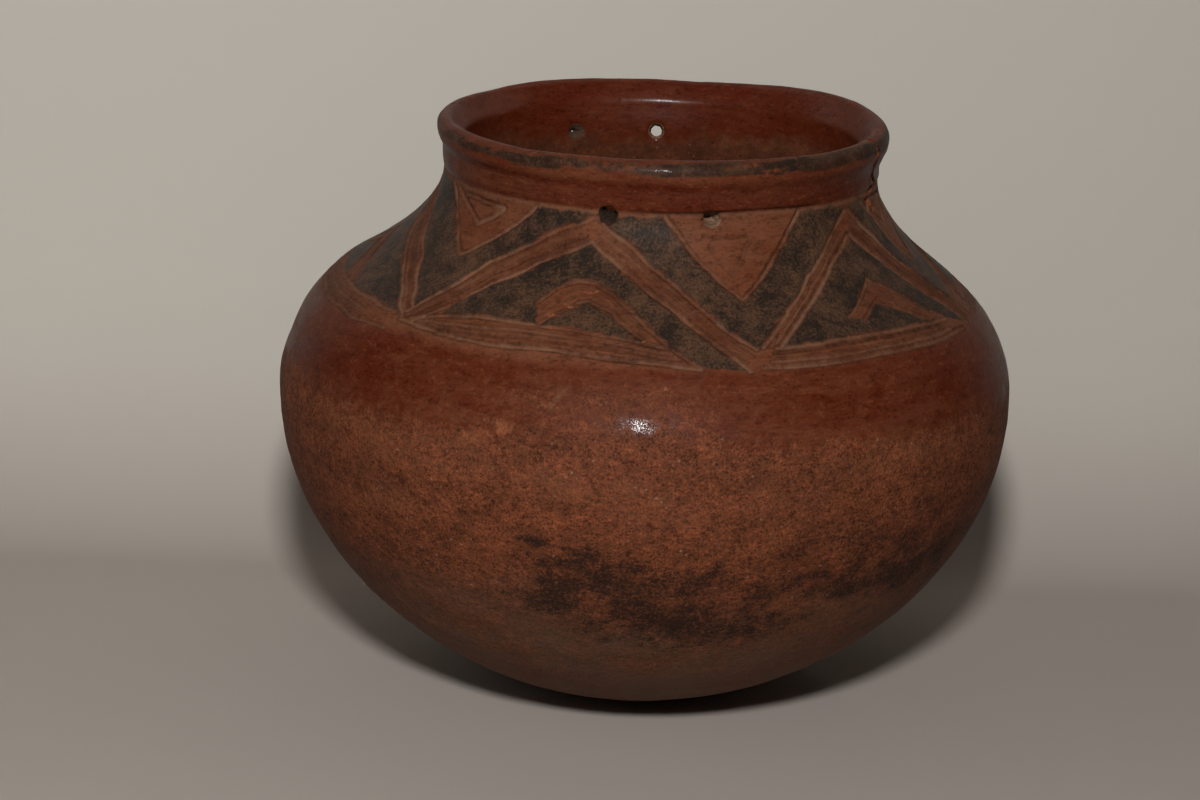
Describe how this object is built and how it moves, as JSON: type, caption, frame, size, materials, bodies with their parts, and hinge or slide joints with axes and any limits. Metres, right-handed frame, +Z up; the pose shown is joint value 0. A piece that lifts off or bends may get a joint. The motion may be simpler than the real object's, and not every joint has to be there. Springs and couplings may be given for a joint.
{
  "type": "earthenware jar",
  "caption": "Round-based globular earthenware jar with a short pierced neck and a rolled lip, built up in clay coil courses, for storing water or grain.",
  "frame": {"origin": "on the floor, under the middle of the jar", "axes": "+Z up through the mouth, -Y towards the front, +X to the right seen from the front"},
  "size_m": [0.237, 0.237, 0.1877],
  "materials": {
    "earthenware": "matte, sooty in places",
    "red_slip": "burnished red slip with black graphite strips",
    "worn_lip": "burnished, black paint worn through to red"
  },
  "bodies": {
    "root": {"base_bowl": "earthenware", "body_coil_1": "earthenware", "body_coil_2": "earthenware", "body_coil_3": "earthenware", "body_coil_4": "red_slip", "body_coil_5": "red_slip", "shoulder_coil_1": "red_slip", "shoulder_coil_2": "red_slip", "shoulder_coil_3": "red_slip", "shoulder_coil_4": "red_slip", "neck_collar": "red_slip", "lip_roll": "worn_lip"}
  },
  "joints": []
}
